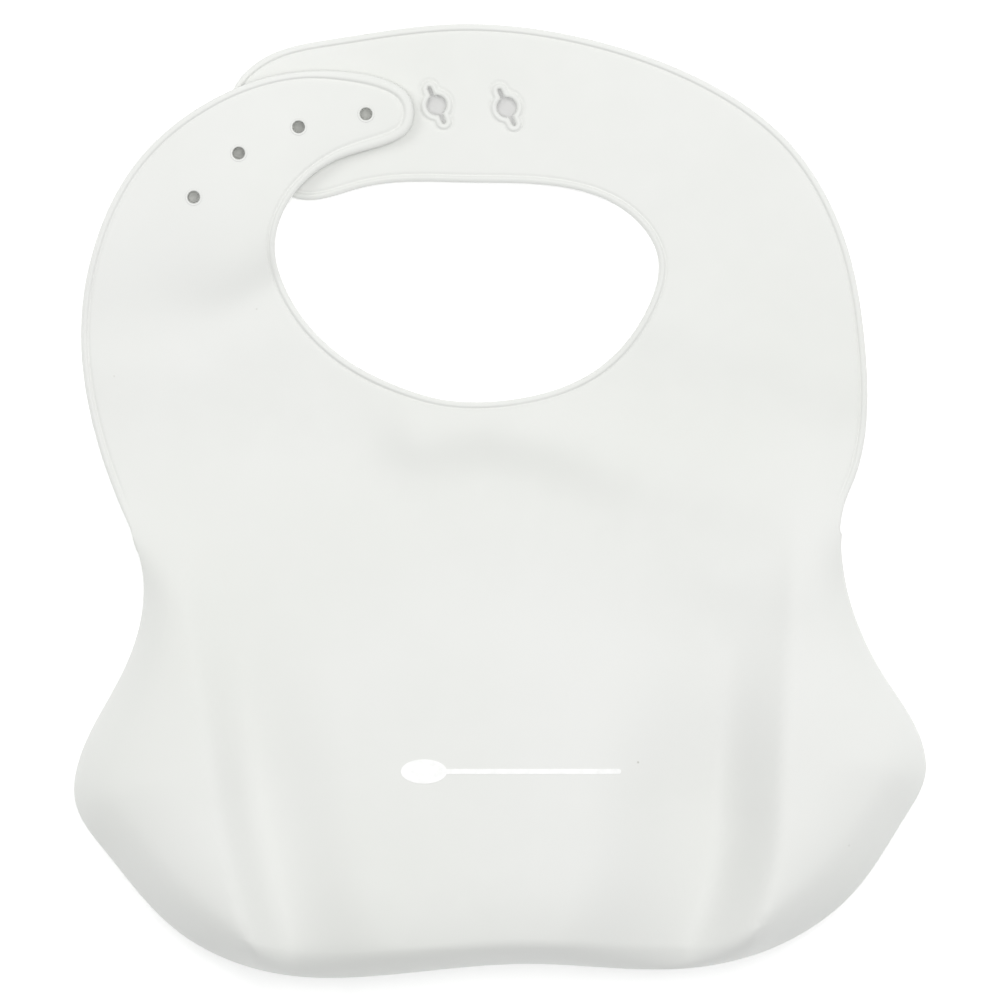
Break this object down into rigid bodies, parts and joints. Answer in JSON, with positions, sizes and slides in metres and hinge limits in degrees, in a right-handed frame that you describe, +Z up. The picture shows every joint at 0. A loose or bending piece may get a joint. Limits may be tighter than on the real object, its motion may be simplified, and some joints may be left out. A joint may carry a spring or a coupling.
{
  "type": "silicone bib",
  "caption": "Silicone bib with a catch pocket, a peg-and-keyhole neck strap and raised hems, lying back side up.",
  "frame": {"origin": "middle of the footprint on the surface that the bib lies on", "axes": "+X across the bib, to the right seen from above; +Y from the pocket to the neck straps; +Z up"},
  "size_m": [0.2403, 0.2691, 0.0321],
  "materials": {
    "silicone": "matte",
    "print": "matte"
  },
  "bodies": {
    "root": {"back_panel": "silicone", "waist_panel": "silicone", "left_gusset": "silicone", "right_gusset": "silicone", "pocket_base": "silicone", "front_side_left": "silicone", "front_side_right": "silicone", "printed_motif": "print"},
    "pocket_front": {"pocket_front": "silicone", "pocket_rim_bead": "silicone"},
    "chest": {"chest_panel": "silicone", "left_shoulder": "silicone", "right_shoulder": "silicone", "left_hem": "silicone", "right_hem": "silicone", "neck_hem": "silicone"},
    "peg_strap": {"peg_strap": "silicone", "peg_strap_hem": "silicone", "closure_peg_1": "silicone", "closure_peg_2": "silicone", "closure_peg_3": "silicone", "closure_peg_4": "silicone"},
    "hole_strap": {"hole_strap": "silicone", "hole_strap_hem": "silicone", "keyhole_collar_1": "silicone", "keyhole_collar_2": "silicone", "keyhole_collar_3": "silicone", "keyhole_collar_4": "silicone"}
  },
  "joints": [
    {"name": "chest_fold", "type": "hinge", "parent": "root", "child": "chest", "pos_m": [0, 0.006, 0.0072], "axis": [1, 0, 0], "range_deg": [0, 85], "stiffness_Nm_per_rad": 0.6},
    {"name": "pocket_flex", "type": "hinge", "parent": "root", "child": "pocket_front", "pos_m": [0, -0.104, 0.0008], "axis": [1, 0, 0], "range_deg": [-18, 12], "stiffness_Nm_per_rad": 0.5},
    {"name": "peg_strap_lift", "type": "hinge", "parent": "chest", "child": "peg_strap", "pos_m": [-0.09, 0.059, 0.0053], "axis": [1, 0, 0], "range_deg": [0, 105], "stiffness_Nm_per_rad": 0.3, "deforming": ["closure_peg_1", "closure_peg_2", "closure_peg_3", "closure_peg_4"]},
    {"name": "hole_strap_bend", "type": "hinge", "parent": "chest", "child": "hole_strap", "pos_m": [0.073, 0.052, 0.0006], "axis": [1, 0, 0], "range_deg": [-45, 0], "stiffness_Nm_per_rad": 1.2, "deforming": ["closure_peg_1", "closure_peg_2", "closure_peg_3", "closure_peg_4"]}
  ]
}
